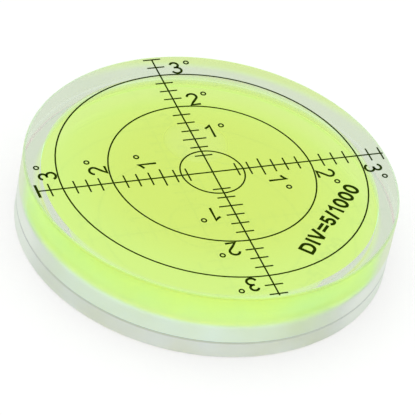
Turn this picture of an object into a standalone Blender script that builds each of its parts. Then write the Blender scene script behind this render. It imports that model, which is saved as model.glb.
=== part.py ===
"""Bullseye level: a clear moulded vial with a domed ceiling, the base plate that closes it,
the tinted filling with its bubble, and the scale printed on the top face.

Metres, +Z up. The origin is the centre of the underside. +X and +Y run along two arms of the scale.
"""
import math

import bmesh
import bpy
from mathutils import Matrix, Vector

# Vial, a cup that opens downwards
BODY_DIAMETER = 0.060
BODY_HEIGHT = 0.009
WALL = 0.003
CROWN_THICKNESS = 0.0022
TOP_EDGE_RADIUS = 0.0004
BORE_CORNER_RADIUS = 0.0005

# Base plate, a flange with a raised spigot that plugs into the vial
BASE_THICKNESS = 0.003
SPIGOT_HEIGHT = 0.002
SPIGOT_CHAMFER = 0.0004
SEAM_CHAMFER = 0.0002
FOOT_CHAMFER = 0.0002

# Bubble, pressed flat against the ceiling
BUBBLE_DIAMETER = 0.0104
BUBBLE_DEPTH = 0.0022
BUBBLE_SHOULDER = 0.0015
BUBBLE_SHOULDER_DEPTH = 0.0008
BUBBLE_OFFSET = 0.0094
BUBBLE_BEARING = math.radians(85)

# Printed scale. Its arms have equal divisions, and the last tick stands a margin inside the flat top.
DIVISIONS_ON_ARM = 14
DIVISION_SLOPE = 5 / 1000
SCALE_MARGIN = 0.00048
RING_DIVISIONS = (2.5, 8, 12)
TICK_DIVISIONS = (2, 3, 5, 6, 7, 9, 10, 11, 13, DIVISIONS_ON_ARM)
LONG_TICK_DIVISION = 4
TICK_LENGTH = 0.0030
LONG_TICK_LENGTH = 0.0040
LINE_WIDTH = 0.00025
HEAVY_LINE_WIDTH = 0.00045
ARM_OVERRUN = 0.0004
INK_THICKNESS = 0.00005

# Space between pieces that fit in one another
FIT_GAP = 0.0003

# Sides of a turned piece, and steps along its curves
SIDES = 96
BUBBLE_SIDES = 48
DOME_STEPS = 8
EDGE_STEPS = 4
BUBBLE_STEPS = 6

# Worked out from the sizes above
BODY_RADIUS = BODY_DIAMETER / 2
BORE_RADIUS = BODY_RADIUS - WALL
SPIGOT_TOP = BASE_THICKNESS + SPIGOT_HEIGHT
BODY_TOP = BASE_THICKNESS + BODY_HEIGHT
CEILING_TOP = BODY_TOP - CROWN_THICKNESS
FLAT_TOP_RADIUS = BODY_RADIUS - TOP_EDGE_RADIUS
SCALE_RADIUS = FLAT_TOP_RADIUS - SCALE_MARGIN
DIVISION = SCALE_RADIUS / DIVISIONS_ON_ARM
DOME_RADIUS = DIVISION / DIVISION_SLOPE
DOME_CENTRE_Z = CEILING_TOP - DOME_RADIUS
QUARTER_TURN = math.pi / 2
MERGE_DISTANCE = 1e-7
SHARP_ANGLE = math.radians(30)


def remove_objects():
    """Empties the scene."""
    for existing in list(bpy.data.objects):
        bpy.data.objects.remove(existing)


def make_material(name, colour, roughness, transmission=0.0, refraction=1.45):
    """A Principled material without metal."""
    material = bpy.data.materials.new(name)
    material.use_nodes = True
    shader = material.node_tree.nodes["Principled BSDF"]
    shader.inputs["Base Color"].default_value = (*colour, 1.0)
    shader.inputs["Roughness"].default_value = roughness
    shader.inputs["Metallic"].default_value = 0.0
    shader.inputs["Transmission Weight"].default_value = transmission
    shader.inputs["IOR"].default_value = refraction
    return material


def add_object(name, mesh, material=None):
    """Links a mesh to the scene as an object of the same name."""
    made = bpy.data.objects.new(name, mesh)
    bpy.context.collection.objects.link(made)
    if material is not None:
        mesh.materials.append(material)
    return made


def hide_as_guide(guide):
    """Marks an object that only cuts or joins others."""
    guide.hide_render = True
    guide.display_type = "WIRE"


def arc(centre_r, centre_z, radius_r, radius_z, start, end, steps):
    """Profile points on an ellipse's arc, from one angle to the other, both ends included."""
    angles = [start + (end - start) * step / steps for step in range(steps + 1)]
    return [
        (centre_r + radius_r * math.cos(angle), centre_z + radius_z * math.sin(angle))
        for angle in angles
    ]


def dome_height(radius, inset=0.0):
    """Height of the ceiling's sphere at a distance from the axis, or of one inset below it."""
    return DOME_CENTRE_Z + math.sqrt((DOME_RADIUS - inset) ** 2 - radius**2)


def dome_profile(start_radius, end_radius, inset=0.0):
    """Profile points along the ceiling's sphere, both ends included."""
    step_size = (end_radius - start_radius) / DOME_STEPS
    radii = [start_radius + step_size * step for step in range(DOME_STEPS + 1)]
    return [(radius, dome_height(radius, inset)) for radius in radii]


def spin_profile(mesh_builder, profile, closed, sides):
    """Turns a profile of (radius, height) points a full round about Z."""
    corners = [mesh_builder.verts.new((radius, 0.0, height)) for radius, height in profile]
    edges = [mesh_builder.edges.new(pair) for pair in zip(corners, corners[1:])]
    if closed:
        edges.append(mesh_builder.edges.new((corners[-1], corners[0])))
    bmesh.ops.spin(
        mesh_builder,
        geom=corners + edges,
        cent=(0.0, 0.0, 0.0),
        axis=(0.0, 0.0, 1.0),
        angle=math.tau,
        steps=sides,
        use_merge=True,
    )


def turned_mesh(name, profile, closed=False, sides=SIDES):
    """A turned solid. An open profile starts and ends on the axis, a closed one makes a ring."""
    builder = bmesh.new()
    spin_profile(builder, profile, closed, sides)
    bmesh.ops.remove_doubles(builder, verts=builder.verts, dist=MERGE_DISTANCE)
    bmesh.ops.recalc_face_normals(builder, faces=builder.faces)
    mesh = bpy.data.meshes.new(name)
    builder.to_mesh(mesh)
    builder.free()
    mesh.shade_smooth()
    mesh.set_sharp_from_angle(angle=SHARP_ANGLE)
    return mesh


def make_vial_body():
    """The clear cup: outer wall, rounded top edge, and a bore that ends in a spherical ceiling."""
    corner_z = dome_height(BORE_RADIUS) - BORE_CORNER_RADIUS
    fillet_z = BODY_TOP - TOP_EDGE_RADIUS
    dome_end = BORE_RADIUS - BORE_CORNER_RADIUS
    corner_drop = dome_height(dome_end) - corner_z
    profile = [(0.0, BODY_TOP)]
    profile += arc(
        FLAT_TOP_RADIUS, fillet_z, TOP_EDGE_RADIUS, TOP_EDGE_RADIUS, QUARTER_TURN, 0.0, EDGE_STEPS
    )
    profile.append((BODY_RADIUS, BASE_THICKNESS + SEAM_CHAMFER))
    profile.append((BODY_RADIUS - SEAM_CHAMFER, BASE_THICKNESS))
    profile.append((BORE_RADIUS, BASE_THICKNESS))
    profile += arc(dome_end, corner_z, BORE_CORNER_RADIUS, corner_drop, 0.0, QUARTER_TURN, EDGE_STEPS)
    profile += dome_profile(dome_end, 0.0)[1:]
    clear_acrylic = make_material("clear_acrylic", (0.86, 0.90, 0.84), 0.04, 1.0, 1.49)
    return add_object("vial_body", turned_mesh("vial_body", profile), clear_acrylic)


def make_base_plate():
    """The plate that closes the vial: a flange as wide as the body, with its spigot in the bore."""
    spigot_radius = BORE_RADIUS - FIT_GAP
    profile = [
        (0.0, SPIGOT_TOP),
        (spigot_radius - SPIGOT_CHAMFER, SPIGOT_TOP),
        (spigot_radius, SPIGOT_TOP - SPIGOT_CHAMFER),
        (spigot_radius, BASE_THICKNESS),
        (BODY_RADIUS - SEAM_CHAMFER, BASE_THICKNESS),
        (BODY_RADIUS, BASE_THICKNESS - SEAM_CHAMFER),
        (BODY_RADIUS, FOOT_CHAMFER),
        (BODY_RADIUS - FOOT_CHAMFER, 0.0),
        (0.0, 0.0),
    ]
    base_acrylic = make_material("base_acrylic", (0.84, 0.88, 0.82), 0.06, 1.0, 1.49)
    return add_object("base_plate", turned_mesh("base_plate", profile), base_acrylic)


def bubble_profile(grow=0.0):
    """The bubble's outline about its own axis, or that of the pocket around it.

    The shoulder and the belly are quarter ellipses that meet at the widest place. Heights are
    measured from the middle of the ceiling, where the bubble is turned before it is moved.
    """
    widest = BUBBLE_DIAMETER / 2 + grow
    contact = BUBBLE_DIAMETER / 2 - BUBBLE_SHOULDER + grow
    top_z = dome_height(contact, FIT_GAP)
    widest_z = top_z - BUBBLE_SHOULDER_DEPTH
    belly_depth = BUBBLE_DEPTH - BUBBLE_SHOULDER_DEPTH + grow
    shoulder = arc(
        contact,
        widest_z,
        widest - contact,
        BUBBLE_SHOULDER_DEPTH,
        QUARTER_TURN,
        0.0,
        BUBBLE_STEPS,
    )
    belly = arc(0.0, widest_z, widest, belly_depth, 0.0, -QUARTER_TURN, 2 * BUBBLE_STEPS)
    return shoulder + belly[1:-1] + [(0.0, widest_z - belly_depth)]


def place_on_dome(made):
    """Swings a piece about the ceiling's centre of curvature, as a bubble moves along the dome."""
    swing = math.asin(BUBBLE_OFFSET / DOME_RADIUS)
    centre = Vector((0.0, 0.0, DOME_CENTRE_Z))
    bearing = Matrix.Rotation(BUBBLE_BEARING, 4, "Z")
    tilt = Matrix.Rotation(swing, 4, "Y")
    turn_back = Matrix.Rotation(-BUBBLE_BEARING, 4, "Z")
    about_centre = Matrix.Translation(centre) @ bearing @ tilt @ turn_back
    made.matrix_world = about_centre @ Matrix.Translation(-centre)


def make_air_bubble():
    """The flat bubble under the ceiling, off the middle as on a surface that isn't quite level."""
    profile = [(0.0, dome_height(0.0, FIT_GAP))] + bubble_profile()
    air = make_material("bubble_air", (0.90, 0.95, 0.85), 0.0, 1.0, 1.0)
    bubble = add_object("air_bubble", turned_mesh("air_bubble", profile, sides=BUBBLE_SIDES), air)
    place_on_dome(bubble)
    return bubble


def make_pocket_cutter():
    """The bubble grown by the gap and opened upwards, to cut its room out of the filling."""
    profile = bubble_profile(FIT_GAP)
    mouth = profile[0][0]
    profile = [(0.0, BODY_TOP), (mouth, BODY_TOP)] + profile
    cutter = add_object("pocket_cutter", turned_mesh("pocket_cutter", profile, sides=BUBBLE_SIDES))
    place_on_dome(cutter)
    hide_as_guide(cutter)
    return cutter


def make_liquid_fill():
    """The filling, flat on the spigot and domed under the ceiling, with room for the bubble."""
    fill_radius = BORE_RADIUS - FIT_GAP
    profile = dome_profile(0.0, fill_radius - BORE_CORNER_RADIUS, FIT_GAP)
    shoulder_z = profile[-1][1] - BORE_CORNER_RADIUS
    profile.append((fill_radius, shoulder_z))
    profile.append((fill_radius, SPIGOT_TOP))
    profile.append((0.0, SPIGOT_TOP))
    green_liquid = make_material("green_liquid", (0.66, 0.92, 0.14), 0.0, 1.0, 1.35)
    filling = add_object("liquid_fill", turned_mesh("liquid_fill", profile), green_liquid)
    pocket = filling.modifiers.new("bubble_pocket", "BOOLEAN")
    pocket.operation = "DIFFERENCE"
    pocket.solver = "EXACT"
    pocket.object = make_pocket_cutter()
    return filling


def ring_mesh(name, radius):
    """One printed ring, as wide as the line and as thick as the ink."""
    inner = radius - LINE_WIDTH / 2
    outer = radius + LINE_WIDTH / 2
    ink_top = BODY_TOP + INK_THICKNESS
    profile = [(inner, ink_top), (outer, ink_top), (outer, BODY_TOP), (inner, BODY_TOP)]
    return turned_mesh(name, profile, closed=True)


def add_bar(builder, turn, low, high):
    """One straight printed line between two corners, along an arm turned from +X by an angle."""
    start, right = low
    end, left = high
    size = Vector((end - start, left - right, INK_THICKNESS, 1.0))
    middle = Vector(((start + end) / 2, (right + left) / 2, BODY_TOP + INK_THICKNESS / 2))
    placed = Matrix.Rotation(turn, 4, "Z") @ Matrix.Translation(middle) @ Matrix.Diagonal(size)
    bmesh.ops.create_cube(builder, size=1.0, matrix=placed)


def add_tick(builder, turn, count, length, width):
    """One tick across an arm, at a number of divisions from the middle."""
    place = count * DIVISION
    add_bar(builder, turn, (place - width / 2, -length / 2), (place + width / 2, length / 2))


def make_bars():
    """The cross and its ticks, before they are joined to the rings.

    The lines end at the last tick on the left and upper arms, and run past it on the other two.
    The last tick of the left arm is the heavy one.
    """
    builder = bmesh.new()
    half_line = LINE_WIDTH / 2
    overrun_end = SCALE_RADIUS + ARM_OVERRUN
    add_bar(builder, 0.0, (-SCALE_RADIUS, -half_line), (overrun_end, half_line))
    add_bar(builder, -QUARTER_TURN, (-SCALE_RADIUS, -half_line), (overrun_end, half_line))
    left_arm = 2
    for arm in range(4):
        turn = arm * QUARTER_TURN
        for count in TICK_DIVISIONS:
            is_heavy = arm == left_arm and count == DIVISIONS_ON_ARM
            add_tick(builder, turn, count, TICK_LENGTH, HEAVY_LINE_WIDTH if is_heavy else LINE_WIDTH)
        add_tick(builder, turn, LONG_TICK_DIVISION, LONG_TICK_LENGTH, LINE_WIDTH)
    mesh = bpy.data.meshes.new("scale_bars")
    builder.to_mesh(mesh)
    builder.free()
    bars = add_object("scale_bars", mesh)
    hide_as_guide(bars)
    return bars


def make_scale_print():
    """The printed scale as one thin solid: three rings, the cross and its ticks, joined."""
    ink = make_material("black_ink", (0.02, 0.025, 0.015), 0.5)
    innermost, *others = [count * DIVISION for count in RING_DIVISIONS]
    scale = add_object("scale_print", ring_mesh("scale_print", innermost), ink)
    guides = bpy.data.collections.new("scale_guides")
    bpy.context.scene.collection.children.link(guides)
    guides.objects.link(make_bars())
    for radius in others:
        ring = add_object("scale_ring", ring_mesh("scale_ring", radius))
        hide_as_guide(ring)
        guides.objects.link(ring)
    joined = scale.modifiers.new("join_rings_and_bars", "BOOLEAN")
    joined.operation = "UNION"
    joined.operand_type = "COLLECTION"
    joined.collection = guides
    joined.solver = "EXACT"
    joined.use_self = True
    return scale


def main():
    """Builds the level."""
    remove_objects()
    make_vial_body()
    make_base_plate()
    make_liquid_fill()
    make_air_bubble()
    make_scale_print()


main()
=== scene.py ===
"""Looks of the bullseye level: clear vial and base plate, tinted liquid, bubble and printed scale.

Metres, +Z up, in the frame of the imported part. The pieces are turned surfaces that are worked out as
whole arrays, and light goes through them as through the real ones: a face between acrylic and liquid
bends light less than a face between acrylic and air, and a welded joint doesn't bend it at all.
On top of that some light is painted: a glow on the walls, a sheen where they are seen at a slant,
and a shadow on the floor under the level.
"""
import math

import bpy
import numpy as np
from mathutils import Matrix, Vector


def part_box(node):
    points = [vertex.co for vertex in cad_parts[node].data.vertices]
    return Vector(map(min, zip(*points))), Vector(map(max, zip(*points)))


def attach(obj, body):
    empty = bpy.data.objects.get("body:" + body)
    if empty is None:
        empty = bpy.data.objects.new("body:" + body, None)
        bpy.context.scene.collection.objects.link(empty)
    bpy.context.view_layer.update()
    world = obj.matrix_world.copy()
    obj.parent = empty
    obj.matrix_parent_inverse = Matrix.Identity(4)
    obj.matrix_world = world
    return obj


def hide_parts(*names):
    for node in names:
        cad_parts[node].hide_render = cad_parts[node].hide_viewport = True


bl_info = {
    "name": "Bullseye level",
    "version": (1, 0, 0),
    "blender": (4, 5, 0),
    "location": "View3D > Sidebar > Level",
    "description": "Builds the visible pieces of a round bullseye level and its stage",
    "category": "Object",
}

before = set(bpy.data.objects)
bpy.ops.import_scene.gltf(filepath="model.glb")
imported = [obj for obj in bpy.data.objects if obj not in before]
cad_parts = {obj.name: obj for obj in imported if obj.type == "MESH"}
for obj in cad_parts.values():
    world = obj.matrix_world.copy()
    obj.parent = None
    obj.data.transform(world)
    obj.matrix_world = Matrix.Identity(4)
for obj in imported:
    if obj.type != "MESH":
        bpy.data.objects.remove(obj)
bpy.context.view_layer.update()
VIAL_LOW, VIAL_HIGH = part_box("vial_body")
_, BASE_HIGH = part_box("base_plate")
PRINT_LOW, PRINT_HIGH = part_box("scale_print")
BUBBLE_LOW, BUBBLE_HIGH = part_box("air_bubble")

FULL_TURN = math.tau
QUARTER_TURN = math.pi / 2
ROOT = "root"

# Steps along the profiles of the turned surfaces.
FACE_RINGS = 8
EDGE_STEPS = 10
DOME_STEPS = 24
CORNER_STEPS = 8
SHOULDER_STEPS = 12
BELLY_STEPS = 24
BUBBLE_SIDES = 128
FLOOR_SIDES = 128
SHARP_ANGLE = math.radians(25)

# The numerals and the legend. Ratios are shares of a sign's height or line width.
INK_LIFT = 1e-6
MITRE_LIMIT = 1.6
SHORTEST = 1e-9
DIVISIONS_PER_NUMERAL = 4
NUMERAL_SINK = 0.00002
NUMERAL_MIDDLE = 0.0033
NUMERAL_HALF = 0.37
NUMERAL_STRETCH = 1.06
DEGREE_RING_ASIDE = 0.0055
DEGREE_RING_RISE = 0.87
DEGREE_RING_LINE = 0.62
LEGEND_TURN = math.radians(45)
LEGEND_START = -0.00922
LEGEND_DISTANCE = 0.02143
LEGEND_PLACES = (
    ("D", 0.0), ("I", 0.00271), ("V", 0.00358), ("=", 0.00610), ("5", 0.00820), ("/", 0.01027),
    ("1", 0.01135), ("0", 0.01331), ("0", 0.01540), ("0", 0.01752),
)

# Where a colour of a material starts and ends to change: heights and distances from the axis.
# The dye, top rim and bore glow heights bound a painted glow on the acrylic, and the two floor
# distances bound a painted shadow on the floor.
DYE_EDGE = (0.0056, 0.0072)
DYE_FOOT_IN = (0.0058, 0.0068)
DYE_FOOT_OUT = (0.0068, 0.0082)
TOP_RIM = (0.0115, 0.0119)
BORE_FOOT = (0.0060, 0.0072)
BORE_PAINTED_GLOW_END = (0.0070, 0.0088)
CEILING_MIDDLE = (0.012, 0.026)
JOINT_DYED = (0.0270, 0.0280)
FLOOR_UNDER_LIQUID = (0.0240, 0.0270)
FLOOR_UNDER_LEVEL = (0.0350, 0.0410)

# The same as slants of a ray, from 0 for one straight at the face to 1 for one along it.
# The sheen slants bring in a painted sheen, and the glow slants turn a painted glow.
PAINTED_SHEEN_SLANT = (0.30, 0.70)
WET_PAINTED_SHEEN_SLANT = (0.66, 0.84)
PAINTED_GLOW_SLANT = (0.35, 0.60)
JOINT_SLANT = (0.25, 0.45)
SPIGOT_SLANT = (0.38, 0.45)
SPIGOT_PAINTED_GLOW_SLANT = (0.40, 0.50)
BORE_PAINTED_GLOW_SLANT = (0.36, 0.44)

# Refraction from one stuff to the next, as ratios of their indices. A welded joint bends nothing.
WELDED = 1.0
BORE_RATIO = 1.08
SPIGOT_RATIO = 1.19
BUBBLE_RATIO = 0.97

# Sizes of the noises that make the finishes uneven, as patches per metre.
POLISH_PATCHES = 90.0
RIPPLES = 160.0
CEMENT_PATCHES = 400.0
INK_PATCHES = 300.0
INK_GRAIN = 2500.0

# How much smoother the side wall is from inside, and how much of the painted glow in the rounded rim is
# seen straight on.
INSIDE_POLISH = 0.8
RIM_STRAIGHT = 0.7

BLACK = (0.0, 0.0, 0.0)
WHITE = (1.0, 1.0, 1.0)

# The stage. The world's strength is SKY_LOW at the horizon and SKY_LOW + SKY_RISE overhead.
FLOOR_DROP = 0.00005
FLOOR_RADII = (0.3, 3.0)
FLOOR_BOTTOM = -0.01
FLOOR_WHITENING = 0.5
SKY_LOW = 0.57
SKY_RISE = 0.66
LAMP_PLACE = (-0.25, 0.3, 1.5)
LAMP_SIZE = 1.2
LAMP_POWER = 2.0
CAMERA_AZIMUTH = math.radians(-27.587)
CAMERA_ELEVATION = math.radians(38.892)
CAMERA_ROLL = math.radians(11.544)
CAMERA_DISTANCE = 0.49353
CAMERA_TARGET = (-0.00042, -0.00151, 0.006)
CAMERA_LENS = 270.587
CAMERA_SENSOR = 36.0
CLEAR_BOUNCES = 48
DIFFUSE_BOUNCES = 4


class LevelSizes(bpy.types.PropertyGroup):
    """Sizes of the level, in metres."""

    wall: bpy.props.FloatProperty(
        name="Wall", description="Thickness of the vial's side wall",
        default=0.003, unit="LENGTH", precision=5,
    )
    crown: bpy.props.FloatProperty(
        name="Crown", description="Thickness of the acrylic above the middle of the ceiling",
        default=0.0022, unit="LENGTH", precision=5,
    )
    dome_radius: bpy.props.FloatProperty(
        name="Dome radius", description="Radius of the ceiling's sphere",
        default=0.416, unit="LENGTH", precision=5,
    )
    top_edge: bpy.props.FloatProperty(
        name="Top edge", description="Radius of the rounded edge round the top face",
        default=0.0004, unit="LENGTH", precision=5,
    )
    bore_corner: bpy.props.FloatProperty(
        name="Bore corner", description="Radius of the fillet between bore and ceiling",
        default=0.0005, unit="LENGTH", precision=5,
    )
    seam_chamfer: bpy.props.FloatProperty(
        name="Seam chamfer", description="Width of the bevels that meet at the seam",
        default=0.0002, unit="LENGTH", precision=5,
    )
    spigot_chamfer: bpy.props.FloatProperty(
        name="Spigot chamfer", description="Width of the bevel round the spigot's top",
        default=0.0004, unit="LENGTH", precision=5,
    )
    film: bpy.props.FloatProperty(
        name="Film", description="Space that keeps two faces in contact apart",
        default=0.00001, unit="LENGTH", precision=6,
    )
    bubble_shoulder: bpy.props.FloatProperty(
        name="Bubble shoulder", description="Width of the bubble's rounded upper edge",
        default=0.0015, unit="LENGTH", precision=5,
    )
    bubble_shoulder_depth: bpy.props.FloatProperty(
        name="Shoulder depth", description="Depth of the bubble's rounded upper edge",
        default=0.0008, unit="LENGTH", precision=5,
    )
    division: bpy.props.FloatProperty(
        name="Division", description="Spacing of the ticks on the arms of the scale",
        default=0.00208, unit="LENGTH", precision=5,
    )
    numeral_height: bpy.props.FloatProperty(
        name="Numeral height", description="Height of the degree numerals",
        default=0.00306, unit="LENGTH", precision=5,
    )
    numeral_line: bpy.props.FloatProperty(
        name="Numeral line", description="Line width of the degree numerals",
        default=0.0004, unit="LENGTH", precision=5,
    )
    legend_height: bpy.props.FloatProperty(
        name="Legend height", description="Height of the letters that give the value of a division",
        default=0.0026, unit="LENGTH", precision=5,
    )
    legend_line: bpy.props.FloatProperty(
        name="Legend line", description="Line width of those letters",
        default=0.00052, unit="LENGTH", precision=5,
    )
    sides: bpy.props.IntProperty(
        name="Sides", description="Sides of a turned surface", default=1024, min=24,
    )


class LevelColours(bpy.types.PropertyGroup):
    """Colours and optical values of the level and its stage."""

    acrylic: bpy.props.FloatVectorProperty(
        name="Acrylic", description="Tint of the clear acrylic",
        default=(0.975, 0.985, 0.97), subtype="COLOR",
    )
    vial_side: bpy.props.FloatVectorProperty(
        name="Vial side", description="Tint of the vial's satin side wall",
        default=(0.92, 0.95, 0.96), subtype="COLOR",
    )
    base_side: bpy.props.FloatVectorProperty(
        name="Base side", description="Tint of the base plate's satin edge",
        default=(0.70, 0.65, 0.775), subtype="COLOR",
    )
    base_inside: bpy.props.FloatVectorProperty(
        name="Base side from inside", description="Tint of that edge for light that leaves by it",
        default=(0.74, 0.87, 0.84), subtype="COLOR",
    )
    side_roughness: bpy.props.FloatProperty(
        name="Side roughness", description="Roughness of the satin side wall", default=0.65,
    )
    joint: bpy.props.FloatVectorProperty(
        name="Joint", description="Tint of the welded joint for a ray along the level",
        default=(0.96, 0.97, 0.95), subtype="COLOR",
    )
    joint_down: bpy.props.FloatVectorProperty(
        name="Joint downwards", description="Tint of the joint under the wall for a ray downwards",
        default=(0.94, 0.80, 0.80), subtype="COLOR",
    )
    joint_dyed: bpy.props.FloatVectorProperty(
        name="Joint at the bore", description="Tint of the joint close to the liquid",
        default=(0.97, 0.92, 0.62), subtype="COLOR",
    )
    joint_across: bpy.props.FloatVectorProperty(
        name="Joint across", description="Tint of the joint round the spigot for a ray downwards",
        default=(0.97, 0.81, 0.26), subtype="COLOR",
    )
    # Painted light: the next three colours are emission on the satin walls, a painted glow that stands
    # in for the light they scatter.
    scatter: bpy.props.FloatVectorProperty(
        name="Scatter", description="Light that the satin side wall scatters into the acrylic",
        default=(0.03, 0.03, 0.025), subtype="COLOR",
    )
    vial_painted_glow: bpy.props.FloatVectorProperty(
        name="Vial satin", description="Light that the vial's satin side wall scatters to the eye",
        default=(0.04, 0.07, 0.14), subtype="COLOR",
    )
    base_painted_glow: bpy.props.FloatVectorProperty(
        name="Base satin", description="Light that the base plate's satin edge scatters to the eye",
        default=(0.06, 0.06, 0.12), subtype="COLOR",
    )
    # Painted sheen: the next two colours are a pale diffuse face mixed in where a wall is seen at a
    # slant, in place of its reflection of the bright surroundings.
    painted_sheen: bpy.props.FloatVectorProperty(
        name="Sheen", description="Colour of the satin side wall where it is seen along its surface",
        default=(0.82, 0.92, 0.65), subtype="COLOR",
    )
    base_painted_sheen: bpy.props.FloatVectorProperty(
        name="Base sheen", description="The same on the base plate and on the vial below the liquid",
        default=(0.89, 0.94, 0.86), subtype="COLOR",
    )
    seam: bpy.props.FloatVectorProperty(
        name="Seam", description="Colour of the cement in the groove of the seam",
        default=(0.70, 0.73, 0.71), subtype="COLOR",
    )
    # Painted light: emission on the groove for rays from inside the acrylic, in place of the lit cement
    # seen through it.
    seam_painted_light: bpy.props.FloatVectorProperty(
        name="Seam from inside", description="Light of that groove, seen through the acrylic",
        default=(0.66, 0.74, 0.61), subtype="COLOR",
    )
    liquid: bpy.props.FloatVectorProperty(
        name="Liquid", description="Share of each colour that the liquid's dye lets by",
        default=(0.975, 0.99, 0.0), subtype="COLOR",
    )
    liquid_density: bpy.props.FloatProperty(
        name="Liquid density", description="How fast the liquid takes light, per metre",
        default=228.0,
    )
    bubble: bpy.props.FloatVectorProperty(
        name="Bubble", description="Share of each colour that goes by in the bubble",
        default=(0.985, 0.99, 0.46), subtype="COLOR",
    )
    middle: bpy.props.FloatVectorProperty(
        name="Middle", description="Tint of the middle of the ceiling, where the dye is yellowest",
        default=(1.0, 0.87, 0.60), subtype="COLOR",
    )
    # Painted light: the next five colours are emission on the acrylic's faces. The dye does fluoresce,
    # but this glow is painted onto the wall, its rounded rim, a band along the liquid's floor and the
    # bore, where it stands in for light seen through them.
    painted_glow: bpy.props.FloatVectorProperty(
        name="Dye glow", description="Fluorescent light of the dye, seen through the side wall",
        default=(0.09, 0.29, 0.15), subtype="COLOR",
    )
    painted_glow_aside: bpy.props.FloatVectorProperty(
        name="Dye glow aside", description="The same where the side wall is seen at a slant",
        default=(0.19, 0.355, 0.14), subtype="COLOR",
    )
    painted_glow_foot: bpy.props.FloatVectorProperty(
        name="Dye glow at the foot", description="Light added to it along the liquid's lower edge",
        default=(0.0, 0.0, 0.10), subtype="COLOR",
    )
    painted_glow_rim: bpy.props.FloatVectorProperty(
        name="Dye glow at the rim", description="The same in the rounded edge of the top face",
        default=(0.10, 0.22, 0.11), subtype="COLOR",
    )
    painted_glow_out: bpy.props.FloatVectorProperty(
        name="Glow at the bore", description="Fluorescent light on rays that leave the liquid sideways",
        default=(0.02, 0.15, 0.17), subtype="COLOR",
    )
    # Painted shadow: the floor under the level shows the next two colours to rays that come through the
    # level, in place of its shadow and the tinted light it lets by.
    painted_shadow_under_liquid: bpy.props.FloatVectorProperty(
        name="Under the liquid", description="Floor under the level, lit through the liquid",
        default=(0.672, 0.93, 0.63), subtype="COLOR",
    )
    painted_shadow_under_wall: bpy.props.FloatVectorProperty(
        name="Under the wall", description="Floor under the level, lit through its clear wall",
        default=(0.69, 0.93, 0.74), subtype="COLOR",
    )
    ink: bpy.props.FloatVectorProperty(
        name="Ink", description="Colour of the printed scale",
        default=(0.016, 0.033, 0.0003), subtype="COLOR",
    )
    floor: bpy.props.FloatVectorProperty(
        name="Floor", description="Colour of the floor",
        default=(0.8, 0.8, 0.8), subtype="COLOR",
    )
    acrylic_index: bpy.props.FloatProperty(
        name="Acrylic index", description="Refractive index of the acrylic", default=1.49,
    )
    liquid_index: bpy.props.FloatProperty(
        name="Liquid index", description="Refractive index of the liquid", default=1.47,
    )


def settings_of(context):
    """The sizes and the colours that hang on the scene."""
    return context.scene.level_sizes, context.scene.level_colours


class Wire:
    """A value inside a node tree that can be written in sums and products, as a number can."""

    def __init__(self, tree, socket):
        self.tree = tree
        self.socket = socket

    def joined(self, operation, left, right):
        """Adds one Math node on two values, either of which may be a plain number."""
        made = self.tree.nodes.new("ShaderNodeMath")
        made.operation = operation
        for slot, value in zip(made.inputs, (left, right)):
            if isinstance(value, Wire):
                self.tree.links.new(value.socket, slot)
            else:
                slot.default_value = value
        return Wire(self.tree, made.outputs[0])

    def __add__(self, other):
        return self.joined("ADD", self, other)

    __radd__ = __add__

    def __sub__(self, other):
        return self.joined("SUBTRACT", self, other)

    def __rsub__(self, other):
        return self.joined("SUBTRACT", other, self)

    def __mul__(self, other):
        return self.joined("MULTIPLY", self, other)

    __rmul__ = __mul__

    def highest(self, other):
        """The larger of two values."""
        return self.joined("MAXIMUM", self, other)


class Nodes:
    """A node tree, and one method that adds any node to it."""

    def __init__(self, tree):
        self.tree = tree
        tree.nodes.clear()

    def add(self, kind, settings=None, values=None):
        """Adds a node of a type, with its settings first, and then values or wires on its sockets."""
        made = self.tree.nodes.new(kind)
        for name, value in (settings or {}).items():
            setattr(made, name, value)
        for name, value in (values or {}).items():
            slot = made.inputs[name]
            if isinstance(value, Wire):
                self.tree.links.new(value.socket, slot)
            elif isinstance(value, bpy.types.NodeSocket):
                self.tree.links.new(value, slot)
            else:
                slot.default_value = value
        return made

    def wire(self, node, output):
        """One output of a node as a value for sums."""
        return Wire(self.tree, node.outputs[output])


def colour4(colour):
    """A colour with full alpha."""
    return (*colour, 1.0)


def new_material(name):
    """An empty node material and its tree."""
    material = bpy.data.materials.new(name)
    material.use_nodes = True
    return material, Nodes(material.node_tree)


def object_noise(nodes, scale, detail=2.0):
    """Noise between 0 and 1 that lies still on the piece."""
    place = nodes.add("ShaderNodeTexCoord")
    values = {"Vector": place.outputs["Object"], "Scale": scale, "Detail": detail}
    noise = nodes.add("ShaderNodeTexNoise", values=values)
    return nodes.wire(noise, "Fac")


def mixed(nodes, amount, first, second):
    """A colour between two, by a value from 0 to 1. Each is a colour or a node's output."""
    values = {"Factor": amount}
    for slot, colour in ((6, first), (7, second)):
        values[slot] = colour if isinstance(colour, bpy.types.NodeSocket) else colour4(colour)
    made = nodes.add("ShaderNodeMix", settings={"data_type": "RGBA"}, values=values)
    return made.outputs[2]


def added(nodes, amount, colour, more):
    """A node's colour plus a share, from 0 to 1, of another colour."""
    made = nodes.add(
        "ShaderNodeMix",
        settings={"data_type": "RGBA", "blend_type": "ADD"},
        values={"Factor": amount, 6: colour, 7: colour4(more)},
    )
    return made.outputs[2]


def scaled(colour, factor):
    """A colour times a factor, at most white."""
    return tuple(min(1.0, channel * factor) for channel in colour)


def uneven(nodes, patches, colour, darkest, lightest):
    """A colour that wanders with a noise between two factors of itself."""
    return mixed(nodes, patches, scaled(colour, darkest), scaled(colour, lightest))


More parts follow.
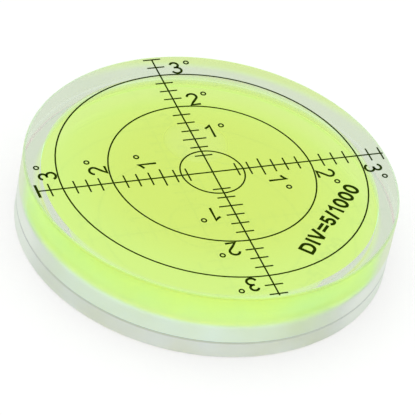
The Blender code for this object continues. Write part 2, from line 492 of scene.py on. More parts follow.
def clear_material(name, tint, index, roughness, ripple=0.0, painted_glow=None):
    """Clear stuff with a slightly uneven polish.

    The tint is a colour or a function of the nodes that gives one, and the glow is such a function that
    paints light onto the face as emission.
    """
    material, nodes = new_material(name)
    patches = object_noise(nodes, POLISH_PATCHES)
    values = {
        "Base Color": tint(nodes) if callable(tint) else uneven(nodes, patches, tint, 0.99, 1.01),
        "Roughness": patches * roughness + roughness * 0.5 if roughness else 0.0,
        "IOR": index,
        "Transmission Weight": 1.0,
    }
    if ripple:
        waves = object_noise(nodes, RIPPLES, 1.0)
        bump = nodes.add(
            "ShaderNodeBump", values={"Strength": ripple, "Distance": 0.0001, "Height": waves}
        )
        values["Normal"] = bump.outputs["Normal"]
    # Painted light: emission on a clear face.
    if painted_glow:
        values["Emission Color"] = painted_glow(nodes)
        values["Emission Strength"] = 1.0
    shader = nodes.add("ShaderNodeBsdfPrincipled", values=values)
    nodes.add("ShaderNodeOutputMaterial", values={"Surface": shader.outputs["BSDF"]})
    return material


def slant_of_ray(nodes):
    """1 - cos a for the angle a between the ray and the face's normal."""
    return nodes.wire(nodes.add("ShaderNodeLayerWeight", values={"Blend": 0.5}), "Facing")


def seen_from_inside(nodes):
    """1 for a ray that comes out of the piece, and 0 for one that goes into it."""
    return nodes.wire(nodes.add("ShaderNodeNewGeometry"), "Backfacing")


def by_slant(nodes, low, high, straight, slanted):
    """One colour for a ray below the first slant, another above the second."""
    return mixed(nodes, smooth_step(nodes, slant_of_ray(nodes), low, high), straight, slanted)


def by_side(nodes, from_outside, from_inside):
    """One colour for a ray that goes into the piece and another for one that comes out of it."""
    return mixed(nodes, seen_from_inside(nodes), from_outside, from_inside)


def filled_material(name, index, left, density):
    """A face that lets light by, and a filling that leaves a share of each colour on the way."""
    material, nodes = new_material(name)
    face = {"Base Color": colour4(WHITE), "Roughness": 0.0, "IOR": index, "Transmission Weight": 1.0}
    shader = nodes.add("ShaderNodeBsdfPrincipled", values=face)
    inside = {"Color": colour4(left), "Density": density}
    volume = nodes.add("ShaderNodeVolumeAbsorption", values=inside)
    nodes.add(
        "ShaderNodeOutputMaterial",
        values={"Surface": shader.outputs["BSDF"], "Volume": volume.outputs["Volume"]},
    )
    return material


def distance_from_axis(nodes):
    """How far a point lies from the upright axis through the origin, in metres."""
    place = nodes.add("ShaderNodeTexCoord")
    level = nodes.add(
        "ShaderNodeVectorMath",
        settings={"operation": "MULTIPLY"},
        values={0: place.outputs["Object"], 1: (1.0, 1.0, 0.0)},
    )
    length = nodes.add(
        "ShaderNodeVectorMath", settings={"operation": "LENGTH"}, values={0: level.outputs["Vector"]}
    )
    return nodes.wire(length, "Value")


def height(nodes):
    """How high a point lies, in metres."""
    place = nodes.add("ShaderNodeTexCoord")
    parts = nodes.add("ShaderNodeSeparateXYZ", values={"Vector": place.outputs["Object"]})
    return nodes.wire(parts, "Z")


def smooth_step(nodes, value, low, high):
    """0 below one value, 1 above another, and a smooth change between them."""
    made = nodes.add(
        "ShaderNodeMapRange",
        settings={"interpolation_type": "SMOOTHSTEP"},
        values={"Value": value, "From Min": low, "From Max": high},
    )
    return nodes.wire(made, "Result")


def ink_material(colour):
    """Screen-printed ink: a matt dark olive, with a fine grain in its surface."""
    material, nodes = new_material("screen_ink")
    grain = object_noise(nodes, INK_GRAIN, 3.0)
    patches = object_noise(nodes, INK_PATCHES)
    bump = nodes.add(
        "ShaderNodeBump", values={"Strength": 0.15, "Distance": 0.00002, "Height": grain}
    )
    shader = nodes.add(
        "ShaderNodeBsdfPrincipled",
        values={
            "Base Color": uneven(nodes, patches, colour, 0.7, 1.4),
            "Roughness": patches * 0.2 + 0.7,
            "Specular IOR Level": 0.0,
            "Normal": bump.outputs["Normal"],
        },
    )
    nodes.add("ShaderNodeOutputMaterial", values={"Surface": shader.outputs["BSDF"]})
    return material


def add_piece(name, points, faces, materials, bands=None, smooth=True):
    """Makes a mesh object at the origin from corner and face arrays, and rides it on the body."""
    mesh = bpy.data.meshes.new(name)
    mesh.from_pydata(np.asarray(points).tolist(), [], faces)
    for material in materials:
        mesh.materials.append(material)
    if bands is not None:
        mesh.polygons.foreach_set("material_index", np.asarray(bands, np.int32))
    mesh.update(calc_edges=True)
    if mesh.validate():
        raise ValueError(f"the mesh of {name} has faces that can't stand")
    if smooth:
        mesh.shade_smooth()
        mesh.set_sharp_from_angle(angle=SHARP_ANGLE)
    piece = bpy.data.objects.new(name, mesh)
    bpy.context.scene.collection.objects.link(piece)
    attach(piece, ROOT)
    return piece


def arc(centre, radii, start, end, steps):
    """Points on an ellipse's arc: centre + (radius_1 cos a, radius_2 sin a), both ends included."""
    angle = np.linspace(start, end, steps + 1)
    return np.column_stack(
        (centre[0] + radii[0] * np.cos(angle), centre[1] + radii[1] * np.sin(angle))
    )


def turned(profile, sides, inwards=False):
    """A profile of (radius, height) turned about Z: (r cos t, r sin t, z) for t over a full round.

    The profile starts and ends on the axis, where a fan of triangles closes each pole. Its points
    go outwards over the top, down the side and back to the axis, so that the faces point out, or
    inwards on request. Returns corners, faces and the profile step that each face belongs to.
    """
    profile = np.asarray(profile, float)
    inner = profile[1:-1]
    turn = np.arange(sides) * FULL_TURN / sides
    grid = np.stack(
        (
            np.outer(inner[:, 0], np.cos(turn)),
            np.outer(inner[:, 0], np.sin(turn)),
            np.repeat(inner[:, 1:], sides, axis=1),
        ),
        axis=-1,
    ).reshape(-1, 3)
    top, bottom = (0.0, 0.0, profile[0, 1]), (0.0, 0.0, profile[-1, 1])
    points = np.vstack((grid, top, bottom))
    rows = len(inner)
    here = np.arange(sides)
    after = (here + 1) % sides
    row = (np.arange(rows - 1) * sides)[:, None]
    quads = np.stack((row + here, row + sides + here, row + sides + after, row + after), axis=-1)
    quads = quads.reshape(-1, 4)
    upper = np.column_stack((np.full(sides, rows * sides), here, after))
    last = (rows - 1) * sides
    lower = np.column_stack((np.full(sides, rows * sides + 1), last + after, last + here))
    if inwards:
        quads, upper, lower = quads[:, ::-1], upper[:, ::-1], lower[:, ::-1]
    faces = upper.tolist() + quads.tolist() + lower.tolist()
    steps = np.concatenate(
        (np.zeros(sides), np.repeat(np.arange(1, rows), sides), np.full(sides, rows))
    ).astype(int)
    return points, faces, steps


def dome_height(sizes, radius):
    """Height of the ceiling's sphere over a distance from the axis."""
    ceiling_top = VIAL_HIGH.z - sizes.crown
    return ceiling_top - sizes.dome_radius + np.sqrt(sizes.dome_radius**2 - np.square(radius))


def ceiling_profile(sizes, inset=0.0):
    """The ceiling from the axis out to the bore, then round its corner: a sphere and a fillet.

    The inset brings it down from the ceiling and in from the bore.
    """
    round_off = sizes.bore_corner
    dome_end = VIAL_HIGH.x - sizes.wall - inset - round_off
    radius = np.linspace(0.0, dome_end, DOME_STEPS + 1)
    dome = np.column_stack((radius, dome_height(sizes, radius) - inset))
    centre = (dome_end, dome[-1, 1] - round_off)
    corner = arc(centre, (round_off, round_off), QUARTER_TURN, 0.0, CORNER_STEPS)
    return np.vstack((dome, corner[1:]))


def vial_profile(sizes):
    """The cup's outline from the middle of its top face to the middle of its ceiling, with its bands.

    The bands are 0 for the top face, 1 for the joint under the wall, 2 for the joint round the
    spigot, 3 for the side wall, 4 for the bevel at the seam, 5 for the ceiling, 6 for its corner and
    7 for the bore.
    """
    radius, top, seam = VIAL_HIGH.x, VIAL_HIGH.z, VIAL_LOW.z
    edge, chamfer = sizes.top_edge, sizes.seam_chamfer
    rings = np.linspace(0.0, radius - edge, FACE_RINGS + 1)
    face = np.column_stack((rings, np.full(FACE_RINGS + 1, top)))
    rounded = arc((radius - edge, top - edge), (edge, edge), QUARTER_TURN, 0.0, EDGE_STEPS)[1:]
    wall = np.array([(radius, seam + chamfer), (radius - chamfer, seam)])
    outside = np.vstack((face, rounded, wall))
    joint_top = BASE_HIGH.z - sizes.spigot_chamfer
    joint = np.array([(radius - sizes.wall, seam), (radius - sizes.wall, joint_top)])
    wetted = ceiling_profile(sizes)[::-1]
    profile = np.vstack((outside, joint, wetted))
    bore_end = len(outside) + len(joint)
    bands = np.full(len(profile) - 1, 5)
    bands[: len(face) - 1] = 0
    bands[len(face) - 1 : len(outside) - 1] = 3
    bands[len(outside) - 2 : bore_end] = 4, 1, 2, 7
    bands[bore_end : bore_end + CORNER_STEPS] = 6
    return profile, bands


def base_profile(sizes):
    """The base plate's outline from the middle of its spigot to the middle of its underside.

    The bands are those of the vial, with 0 for the underside and 5 for the spigot's top.
    """
    radius, seam, spigot_top = BASE_HIGH.x, VIAL_LOW.z - sizes.film, BASE_HIGH.z
    spigot = VIAL_HIGH.x - sizes.wall - sizes.film
    bevel, chamfer = sizes.spigot_chamfer, sizes.seam_chamfer
    profile = np.array(
        [
            (0.0, spigot_top),
            (spigot - bevel, spigot_top),
            (spigot, spigot_top - bevel),
            (spigot, seam),
            (radius - chamfer, seam),
            (radius, seam - chamfer),
            (radius, chamfer),
            (radius - chamfer, 0.0),
            (0.0, 0.0),
        ]
    )
    return profile, np.array([5, 5, 2, 1, 4, 3, 3, 0])


def liquid_profile(sizes):
    """The liquid's outline: the ceiling and the bore, a film away, and the spigot with its bevel."""
    film, bevel = sizes.film, sizes.spigot_chamfer
    roof = ceiling_profile(sizes, film)
    spigot = VIAL_HIGH.x - sizes.wall - film
    floor = np.array(
        [
            (spigot, BASE_HIGH.z - bevel + 2 * film),
            (spigot - bevel, BASE_HIGH.z + film),
            (0.0, BASE_HIGH.z + film),
        ]
    )
    return np.vstack((roof, floor))


def bubble_profile(sizes, grown=0.0):
    """The bubble's outline about its own axis: flat along the ceiling, with a shoulder and a belly.

    The shoulder and the belly are quarter ellipses, (widest cos a, depth sin a), that meet at the
    widest place. The roof keeps three films from the ceiling. A grown outline is that of the room
    for the bubble in the liquid.
    """
    widest = (BUBBLE_HIGH.x - BUBBLE_LOW.x) / 2 + grown
    depth = BUBBLE_HIGH.z - BUBBLE_LOW.z
    contact = widest - sizes.bubble_shoulder
    gap = 3 * sizes.film - grown
    flat = np.linspace(0.0, contact, FACE_RINGS + 1)
    roof = np.column_stack((flat, dome_height(sizes, flat) - gap))
    shoulder_z = roof[-1, 1] - sizes.bubble_shoulder_depth
    radii = (sizes.bubble_shoulder, sizes.bubble_shoulder_depth)
    shoulder = arc((contact, shoulder_z), radii, QUARTER_TURN, 0.0, SHOULDER_STEPS)
    belly_depth = depth - sizes.bubble_shoulder_depth + grown
    belly = arc((0.0, shoulder_z), (widest, belly_depth), 0.0, -QUARTER_TURN, BELLY_STEPS)
    belly[-1, 0] = 0.0
    return np.vstack((roof, shoulder[1:], belly[1:]))


def swung(sizes, points):
    """Points moved along the ceiling to the bubble's place: turned about the sphere's centre."""
    middle = (BUBBLE_LOW + BUBBLE_HIGH) / 2
    offset = math.hypot(middle.x, middle.y)
    bearing = math.atan2(middle.y, middle.x)
    centre = Vector((0.0, 0.0, VIAL_HIGH.z - sizes.crown - sizes.dome_radius))
    swing = Matrix.Rotation(math.asin(offset / sizes.dome_radius), 4, "Y")
    turn = Matrix.Rotation(bearing, 4, "Z") @ swing @ Matrix.Rotation(-bearing, 4, "Z")
    moved = np.array(Matrix.Translation(centre) @ turn @ Matrix.Translation(-centre))
    return points @ moved[:3, :3].T + moved[:3, 3]


def ribbon(path, width, closed, bottom, top):
    """A flat printed line: a rectangle carried along a path, mitred at the corners.

    Each point's left and right edge lie half a width off the path, along the mean of the two
    neighbouring normals, stretched by 1 / cos(half the bend) up to the mitre limit.
    """
    path = np.asarray(path, float)
    ahead = np.roll(path, -1, axis=0) - path
    if not closed:
        ahead[-1] = ahead[-2]
    behind = np.roll(ahead, 1, axis=0)
    if not closed:
        behind[0] = ahead[0]
    ahead /= np.linalg.norm(ahead, axis=1, keepdims=True)
    behind /= np.linalg.norm(behind, axis=1, keepdims=True)
    normal = np.column_stack((-ahead[:, 1] - behind[:, 1], ahead[:, 0] + behind[:, 0]))
    length = np.linalg.norm(normal, axis=1, keepdims=True)
    length = np.maximum(length, SHORTEST)
    reach = np.minimum(2 / length, MITRE_LIMIT) * width / 2
    side = normal / length * reach
    left, right = path + side, path - side
    count = len(path)
    low, high = np.full((count, 1), bottom), np.full((count, 1), top)
    corners = [
        np.hstack(corner) for corner in ((left, high), (left, low), (right, low), (right, high))
    ]
    points = np.stack(corners, axis=1).reshape(-1, 3)
    spans = np.arange(count if closed else count - 1)
    start = spans * 4
    end = (spans + 1) % count * 4
    ring = np.arange(4)
    follow = (ring + 1) % 4
    start, end = start[:, None], end[:, None]
    quads = np.stack((start + ring, start + follow, end + follow, end + ring), axis=-1)
    faces = quads.reshape(-1, 4).tolist()
    if not closed:
        last = 4 * (count - 1)
        faces += [[3, 2, 1, 0], [last, last + 1, last + 2, last + 3]]
    return points, faces


def strokes_of(sign):
    """The centre lines of one printed sign, in shares of its height, each with whether it is closed."""
    if sign == "1":
        return [([(0.14, 0.74), (0.31, 0.84), (0.43, 0.965), (0.43, 0.0)], False)]
    if sign == "2":
        crook = arc((0.345, 0.70), (0.245, 0.245), math.radians(172), math.radians(-38), 14)
        return [(np.vstack((crook, [(0.30, 0.28), (0.13, 0.055), (0.62, 0.055)])), False)]
    if sign == "3":
        upper = arc((0.325, 0.74), (0.205, 0.205), math.radians(165), math.radians(-90), 14)
        lower = arc((0.335, 0.295), (0.245, 0.24), math.radians(90), math.radians(-165), 14)
        return [(np.vstack((upper, [(0.25, 0.535)])), False), (lower, False)]
    if sign == "°":
        return [(arc((0.0, 0.0), (0.125, 0.125), 0.0, -FULL_TURN, 20)[:-1], True)]
    if sign == "D":
        bowl = arc((0.42, 0.5), (0.33, 0.405), QUARTER_TURN, -QUARTER_TURN, 12)
        return [(np.vstack(([(0.095, 0.905)], bowl, [(0.095, 0.095)])), True)]
    if sign == "I":
        return [([(0.095, 1.0), (0.095, 0.0)], False)]
    if sign == "V":
        return [([(0.09, 1.0), (0.405, 0.10), (0.485, 0.10), (0.80, 1.0)], False)]
    if sign == "=":
        return [([(0.0, 0.67), (0.70, 0.67)], False), ([(0.0, 0.33), (0.70, 0.33)], False)]
    if sign == "5":
        bowl = arc((0.32, 0.33), (0.235, 0.24), math.radians(120), math.radians(-160), 14)
        return [(np.vstack(([(0.56, 0.905), (0.20, 0.905), (0.135, 0.50)], bowl)), False)]
    if sign == "/":
        return [([(0.04, 0.0), (0.30, 1.0)], False)]
    if sign == "0":
        oval = arc((0.345, 0.5), (0.262, 0.425), QUARTER_TURN, QUARTER_TURN - FULL_TURN, 28)
        return [(oval[:-1], True)]
    raise ValueError(f"no strokes for {sign!r}")


def printed(signs, bottom, top):
    """All ribbons of some signs as one set of corners and faces.

    A sign is (character, height, line width, place, turn, squeeze): its strokes are scaled, turned
    about the origin and moved to their place, (x cos t - y sin t, x sin t + y cos t) + place.
    """
    all_points, all_faces, count = [], [], 0
    for character, height, width, place, turn, squeeze in signs:
        across = np.array((math.cos(turn), math.sin(turn)))
        upwards = np.array((-across[1], across[0]))
        for path, closed in strokes_of(character):
            path = np.asarray(path, float) * height
            path = path[:, :1] * squeeze * across + path[:, 1:] * upwards + place
            points, faces = ribbon(path, width, closed, bottom, top)
            all_points.append(points)
            all_faces += [[corner + count for corner in face] for face in faces]
            count += len(points)
    return np.vstack(all_points), all_faces


def numerals(sizes):
    """The degree numerals, on the clockwise side of each arm, with their tops outwards."""
    signs = []
    height, line = sizes.numeral_height, sizes.numeral_line
    for arm in range(4):
        turn = arm * QUARTER_TURN
        right = np.array((math.cos(turn), math.sin(turn)))
        outwards = np.array((-right[1], right[0]))
        for degree in (1, 2, 3):
            baseline = DIVISIONS_PER_NUMERAL * degree * sizes.division - NUMERAL_SINK
            place = right * (NUMERAL_MIDDLE - NUMERAL_HALF * height) + outwards * baseline
            signs.append((str(degree), height, line, place, turn, NUMERAL_STRETCH))
            ring = right * DEGREE_RING_ASIDE + outwards * (baseline + DEGREE_RING_RISE * height)
            signs.append(("°", height, line * DEGREE_RING_LINE, ring, turn, 1.0))
    return signs


def legend(sizes):
    """The value of one division, on a straight line between the second ring and the third."""
    along = np.array((math.cos(LEGEND_TURN), math.sin(LEGEND_TURN)))
    start = along * LEGEND_START + np.array((along[1], -along[0])) * LEGEND_DISTANCE
    height, line = sizes.legend_height, sizes.legend_line
    return [
        (sign, height, line, start + along * place, LEGEND_TURN, 1.0) for sign, place in LEGEND_PLACES
    ]


def clear_faces(colours, name):
    """Finishes 0 to 4 of an acrylic piece, in the order of the bands in vial_profile."""
    index = colours.acrylic_index

    def downwards(nodes):
        clear = smooth_step(nodes, distance_from_axis(nodes), *JOINT_DYED)
        down = mixed(nodes, clear, colours.joint_dyed, colours.joint_down)
        return by_slant(nodes, *JOINT_SLANT, down, colours.joint)

    def across(nodes):
        wet = by_slant(nodes, *SPIGOT_SLANT, colours.joint, colours.joint_across)
        return by_side(nodes, colours.joint, wet)

    # Painted light: a glow on the joint round the spigot for rays at a slant.
    def leaving(nodes):
        out = by_slant(nodes, *SPIGOT_PAINTED_GLOW_SLANT, BLACK, colours.painted_glow_out)
        return by_side(nodes, out, BLACK)

    spigot_tint, painted_glow = (across, leaving) if name == "vial" else (colours.joint, None)
    return [
        clear_material(f"{name}_polished", colours.acrylic, index, 0.02, ripple=0.02),
        clear_material(f"{name}_joint", downwards, WELDED, 0.0),
        clear_material(f"{name}_spigot_joint", spigot_tint, WELDED, 0.0, painted_glow=painted_glow),
        side_material(name, colours),
        seam_material(f"{name}_seam", colours),
    ]


def side_material(name, colours):
    """The satin side wall: clear, with a painted pale sheen where it is seen along its surface.

    Both walls glow with painted light. On the vial's wall it stands in for the dye's glow, seen from
    the outside, down to a soft edge at the liquid's floor.
    """
    material, nodes = new_material(f"{name}_side")
    patches = object_noise(nodes, POLISH_PATCHES)
    inside = seen_from_inside(nodes)
    slant = slant_of_ray(nodes)
    polish = 1.0 - inside * INSIDE_POLISH
    # Share of the painted sheen, by the slant of the ray.
    amount = smooth_step(nodes, slant, *PAINTED_SHEEN_SLANT)
    pale = uneven(nodes, patches, colours.base_painted_sheen, 0.98, 1.02)
    if name == "vial":
        # Painted light on the vial's wall: a glow above the liquid's floor, an extra band along it, and
        # a brighter glow in the rounded rim.
        up = height(nodes)
        wet = smooth_step(nodes, up, *DYE_EDGE)
        foot = smooth_step(nodes, up, *DYE_FOOT_IN) * (1.0 - smooth_step(nodes, up, *DYE_FOOT_OUT))
        aside = smooth_step(nodes, slant, *PAINTED_GLOW_SLANT)
        painted_glow = mixed(nodes, aside, colours.painted_glow, colours.painted_glow_aside)
        painted_glow = added(nodes, foot, painted_glow, colours.painted_glow_foot)
        rim = mixed(nodes, aside, scaled(colours.painted_glow_rim, RIM_STRAIGHT), colours.painted_glow_rim)
        lit = mixed(nodes, wet, colours.vial_painted_glow, painted_glow)
        lit = mixed(nodes, smooth_step(nodes, up, *TOP_RIM), lit, rim)
        tint = uneven(nodes, patches, colours.vial_side, 0.99, 1.01)
        amount = smooth_step(nodes, slant, *WET_PAINTED_SHEEN_SLANT) * wet + amount * (1.0 - wet)
        pale = mixed(nodes, wet, pale, colours.painted_sheen)
    else:
        tint = uneven(nodes, patches, colours.base_side, 0.99, 1.01)
        tint = by_side(nodes, tint, colours.base_inside)
        # Painted light on the base's edge: an even glow.
        lit = uneven(nodes, patches, colours.base_painted_glow, 0.97, 1.03)
    clear = nodes.add(
        "ShaderNodeBsdfPrincipled",
        values={
            "Base Color": tint,
            "Roughness": (patches + 0.5) * polish * colours.side_roughness,
            "IOR": colours.acrylic_index,
            "Transmission Weight": 1.0,
            # Painted glow: one for rays into the wall and one for rays out of it.
            "Emission Color": by_side(nodes, lit, colours.scatter),
            "Emission Strength": 1.0,
        },
    )
    # Painted sheen: a pale diffuse face, mixed in from the outside only.
    painted_sheen = nodes.add(
        "ShaderNodeBsdfPrincipled", values={"Base Color": pale, "Roughness": patches * 0.2 + 0.5}
    )
    both = nodes.add(
        "ShaderNodeMixShader",
        values={0: amount * (1.0 - inside), 1: clear.outputs["BSDF"], 2: painted_sheen.outputs["BSDF"]},
    )
    nodes.add("ShaderNodeOutputMaterial", values={"Surface": both.outputs["Shader"]})
    return material


def seam_material(name, colours):
    """The rough cement line in the groove of the seam, with painted light on it for rays from inside.
    """
    material, nodes = new_material(name)
    patches = object_noise(nodes, CEMENT_PATCHES)
    cement = uneven(nodes, patches, colours.seam, 0.95, 1.05)
    shader = nodes.add(
        "ShaderNodeBsdfPrincipled",
        values={
            "Base Color": by_side(nodes, cement, BLACK),
            "Roughness": 0.9,
            "Transmission Weight": 0.25,
            # Painted light: the groove's glow seen through the acrylic.
            "Emission Color": by_side(nodes, BLACK, colours.seam_painted_light),
            "Emission Strength": 1.0,
        },
    )
    nodes.add("ShaderNodeOutputMaterial", values={"Surface": shader.outputs["BSDF"]})
    return material


def add_floor(colours):
    """A pale round floor just under the level, white where it is seen.

    Rays that come by way of the level see it glow with a painted shadow: darker and tinted where the
    level stands over it, white further out.
    """
    inner, outer = FLOOR_RADII
    top = [(0.0, 0.0), (inner, 0.0), (outer, 0.0)]
    points, faces, _ = turned(top + [(outer, FLOOR_BOTTOM), (0.0, FLOOR_BOTTOM)], FLOOR_SIDES)
    points[:, 2] -= FLOOR_DROP
    mesh = bpy.data.meshes.new("floor")
    mesh.from_pydata(points.tolist(), [], faces)
    material, nodes = new_material("pale_floor")
    path = nodes.add("ShaderNodeLightPath")
    seen = nodes.wire(path, "Is Camera Ray")
    shade = mixed(nodes, seen, colours.floor, WHITE)
    surface = nodes.add("ShaderNodeBsdfDiffuse", values={"Color": shade})
    white = nodes.add("ShaderNodeEmission", values={"Color": colour4(WHITE), "Strength": 1.0})
    faint = nodes.add(
        "ShaderNodeMixShader",
        values={
            0: seen * FLOOR_WHITENING, 1: surface.outputs["BSDF"], 2: white.outputs["Emission"],
        },
    )
    # Painted shadow under the level, for rays that come through it.
    behind = nodes.wire(path, "Is Glossy Ray").highest(nodes.wire(path, "Is Transmission Ray"))
    distance = distance_from_axis(nodes)
    clear = smooth_step(nodes, distance, *FLOOR_UNDER_LIQUID)
    under = mixed(nodes, clear, colours.painted_shadow_under_liquid, colours.painted_shadow_under_wall)
    lit = mixed(nodes, smooth_step(nodes, distance, *FLOOR_UNDER_LEVEL), under, WHITE)
    painted_glow = nodes.add("ShaderNodeEmission", values={"Color": lit, "Strength": 1.0})
    both = nodes.add(
        "ShaderNodeMixShader",
        values={0: behind, 1: faint.outputs["Shader"], 2: painted_glow.outputs["Emission"]},
    )
    nodes.add("ShaderNodeOutputMaterial", values={"Surface": both.outputs["Shader"]})
    mesh.materials.append(material)
    floor = bpy.data.objects.new("floor", mesh)
    bpy.context.scene.collection.objects.link(floor)


def add_light():
    """A soft sky that is brighter overhead than at the horizon, and one large lamp above."""
    scene = bpy.context.scene
    scene.world = bpy.data.worlds.new("soft_studio")
    scene.world.use_nodes = True
    nodes = Nodes(scene.world.node_tree)
    place = nodes.add("ShaderNodeTexCoord")
    parts = nodes.add("ShaderNodeSeparateXYZ", values={"Vector": place.outputs["Generated"]})
    upwards = nodes.wire(parts, "Z").highest(0.0)
    sky = upwards * SKY_RISE + SKY_LOW
    seen = nodes.wire(nodes.add("ShaderNodeLightPath"), "Is Camera Ray")
    light = {"Color": colour4(WHITE), "Strength": sky * (1.0 - seen) + seen}
    background = nodes.add("ShaderNodeBackground", values=light)
    nodes.add("ShaderNodeOutputWorld", values={"Surface": background.outputs["Background"]})
    lamp = bpy.data.lights.new("soft_box", "AREA")
    lamp.shape = "DISK"
    lamp.size = LAMP_SIZE
    lamp.energy = LAMP_POWER
    soft_box = bpy.data.objects.new("soft_box", lamp)
    place = Vector(LAMP_PLACE)
    soft_box.location = place
    soft_box.rotation_euler = place.to_track_quat("Z", "Y").to_euler()
    scene.collection.objects.link(soft_box)


def add_camera():
    """The photograph's view: aimed at a point in the level, and rolled as the photograph is."""
    scene = bpy.context.scene
    level = math.cos(CAMERA_ELEVATION)
    right, back = math.sin(CAMERA_AZIMUTH) * level, -math.cos(CAMERA_AZIMUTH) * level
    away = Vector((right, back, math.sin(CAMERA_ELEVATION)))
    lens = bpy.data.cameras.new("photo_view")
    lens.lens = CAMERA_LENS
    lens.sensor_width = CAMERA_SENSOR
    lens.clip_start = 0.01
    lens.clip_end = 50.0
    camera = bpy.data.objects.new("photo_view", lens)
    aimed = away.to_track_quat("Z", "Y").to_matrix().to_4x4()
    place = Matrix.Translation(Vector(CAMERA_TARGET) + away * CAMERA_DISTANCE)
    camera.matrix_world = place @ aimed @ Matrix.Rotation(CAMERA_ROLL, 4, "Z")
    scene.collection.objects.link(camera)
    scene.camera = camera


class LEVEL_OT_vial_body(bpy.types.Operator):
    """Turn the clear cup with its rounded edge and domed ceiling"""

    bl_idname = "level.vial_body"
    bl_label = "Vial body"

    def execute(self, context):
        sizes, colours = settings_of(context)
        profile, bands = vial_profile(sizes)
        points, faces, steps = turned(profile, sizes.sides)
        ratio = colours.acrylic_index / colours.liquid_index

        def yellow_middle(nodes):
            outwards = smooth_step(nodes, distance_from_axis(nodes), *CEILING_MIDDLE)
            return mixed(nodes, outwards, colours.middle, WHITE)

        # Painted light: a glow on the bore for rays at a slant, fading upwards.
        def leaving(nodes):
            upwards = smooth_step(nodes, height(nodes), *BORE_PAINTED_GLOW_END)
            deep = mixed(nodes, upwards, colours.painted_glow_out, BLACK)
            return by_side(nodes, by_slant(nodes, *BORE_PAINTED_GLOW_SLANT, BLACK, deep), BLACK)

        def wetted(nodes):
            upwards = smooth_step(nodes, height(nodes), *BORE_FOOT)
            low = mixed(nodes, upwards, colours.joint_across, WHITE)
            return by_side(nodes, WHITE, by_slant(nodes, *SPIGOT_SLANT, WHITE, low))

        finishes = clear_faces(colours, "vial") + [
            clear_material("ceiling", yellow_middle, ratio, 0.0),
            clear_material("ceiling_corner", WHITE, ratio, 0.0),
            clear_material("bore", wetted, BORE_RATIO, 0.0, painted_glow=leaving),
        ]
        piece = add_piece("clear_vial", points, faces, finishes, bands[steps])
        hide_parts("vial_body")
        return {"FINISHED"}


class LEVEL_OT_base_plate(bpy.types.Operator):
    """Turn the clear plate that closes the vial"""

    bl_idname = "level.base_plate"
    bl_label = "Base plate"

    def execute(self, context):
        sizes, colours = settings_of(context)
        profile, bands = base_profile(sizes)
        points, faces, steps = turned(profile, sizes.sides)
        finishes = clear_faces(colours, "base")
        finishes.append(clear_material("spigot_top", WHITE, SPIGOT_RATIO, 0.0))
        piece = add_piece("clear_base", points, faces, finishes, bands[steps])
        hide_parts("base_plate")
        return {"FINISHED"}


class LEVEL_OT_liquid_fill(bpy.types.Operator):
    """Turn the tinted liquid, with the bubble's room in it"""

    bl_idname = "level.liquid_fill"
    bl_label = "Liquid"

    def execute(self, context):
        sizes, colours = settings_of(context)
        points, faces, _ = turned(liquid_profile(sizes), sizes.sides)
        outline = bubble_profile(sizes, sizes.film)
        room, room_faces, _ = turned(outline, BUBBLE_SIDES, inwards=True)
        faces += [[corner + len(points) for corner in face] for face in room_faces]
        points = np.vstack((points, swung(sizes, room)))
        dyed = filled_material("dyed_liquid", WELDED, colours.liquid, colours.liquid_density)
        piece = add_piece("dyed_liquid", points, faces, [dyed])
        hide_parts("liquid_fill")
        return {"FINISHED"}


class LEVEL_OT_air_bubble(bpy.types.Operator):
    """Turn the flat bubble and bring it to its place under the ceiling"""

    bl_idname = "level.air_bubble"
    bl_label = "Bubble"

    def execute(self, context):
        sizes, colours = settings_of(context)
        points, faces, _ = turned(bubble_profile(sizes), BUBBLE_SIDES)
        gas = filled_material("bubble_gas", BUBBLE_RATIO, colours.bubble, colours.liquid_density)
        piece = add_piece("gas_bubble", swung(sizes, points), faces, [gas])
        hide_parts("air_bubble")
        return {"FINISHED"}


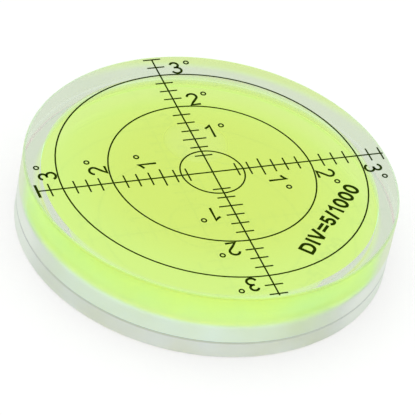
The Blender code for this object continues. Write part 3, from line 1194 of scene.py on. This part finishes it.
class LEVEL_OT_scale_print(bpy.types.Operator):
    """Give the printed rings and arms their ink, and print the numerals and the legend"""

    bl_idname = "level.scale_print"
    bl_label = "Scale print"

    def execute(self, context):
        sizes, colours = settings_of(context)
        ink = ink_material(colours.ink)
        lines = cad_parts["scale_print"]
        lines.data.materials.clear()
        lines.data.materials.append(ink)
        for name, signs in (("degree_numerals", numerals(sizes)), ("division_legend", legend(sizes))):
            points, faces = printed(signs, PRINT_LOW.z + INK_LIFT, PRINT_HIGH.z)
            piece = add_piece(name, points, faces, [ink], smooth=False)
        return {"FINISHED"}


class LEVEL_OT_stage(bpy.types.Operator):
    """Set up the floor, the soft light and the camera"""

    bl_idname = "level.stage"
    bl_label = "Stage"

    def execute(self, context):
        colours = context.scene.level_colours
        add_floor(colours)
        add_light()
        add_camera()
        return {"FINISHED"}


class LEVEL_PT_sidebar(bpy.types.Panel):
    """Sizes, colours and build steps of the level"""

    bl_label = "Bullseye level"
    bl_idname = "LEVEL_PT_sidebar"
    bl_space_type = "VIEW_3D"
    bl_region_type = "UI"
    bl_category = "Level"

    def draw(self, context):
        for group in settings_of(context):
            column = self.layout.column()
            for name in group.__annotations__:
                column.prop(group, name)
        for operator in OPERATORS:
            self.layout.operator(operator.bl_idname)


OPERATORS = (
    LEVEL_OT_stage,
    LEVEL_OT_vial_body,
    LEVEL_OT_base_plate,
    LEVEL_OT_liquid_fill,
    LEVEL_OT_air_bubble,
    LEVEL_OT_scale_print,
)
CLASSES = (LevelSizes, LevelColours, *OPERATORS, LEVEL_PT_sidebar)


def register():
    """Registers the classes and hangs the settings on the scene."""
    for made in CLASSES:
        bpy.utils.register_class(made)
    bpy.types.Scene.level_sizes = bpy.props.PointerProperty(type=LevelSizes)
    bpy.types.Scene.level_colours = bpy.props.PointerProperty(type=LevelColours)


def unregister():
    """Takes the settings and the classes away again."""
    del bpy.types.Scene.level_colours
    del bpy.types.Scene.level_sizes
    for made in reversed(CLASSES):
        bpy.utils.unregister_class(made)


def main():
    register()
    bpy.ops.level.stage()
    bpy.ops.level.vial_body()
    bpy.ops.level.base_plate()
    bpy.ops.level.liquid_fill()
    bpy.ops.level.air_bubble()
    bpy.ops.level.scale_print()
    scene = bpy.context.scene
    scene.view_settings.view_transform = "Standard"
    scene.cycles.max_bounces = CLEAR_BOUNCES
    scene.cycles.glossy_bounces = CLEAR_BOUNCES
    scene.cycles.transmission_bounces = CLEAR_BOUNCES
    scene.cycles.diffuse_bounces = DIFFUSE_BOUNCES


if __name__ == "__main__":
    main()
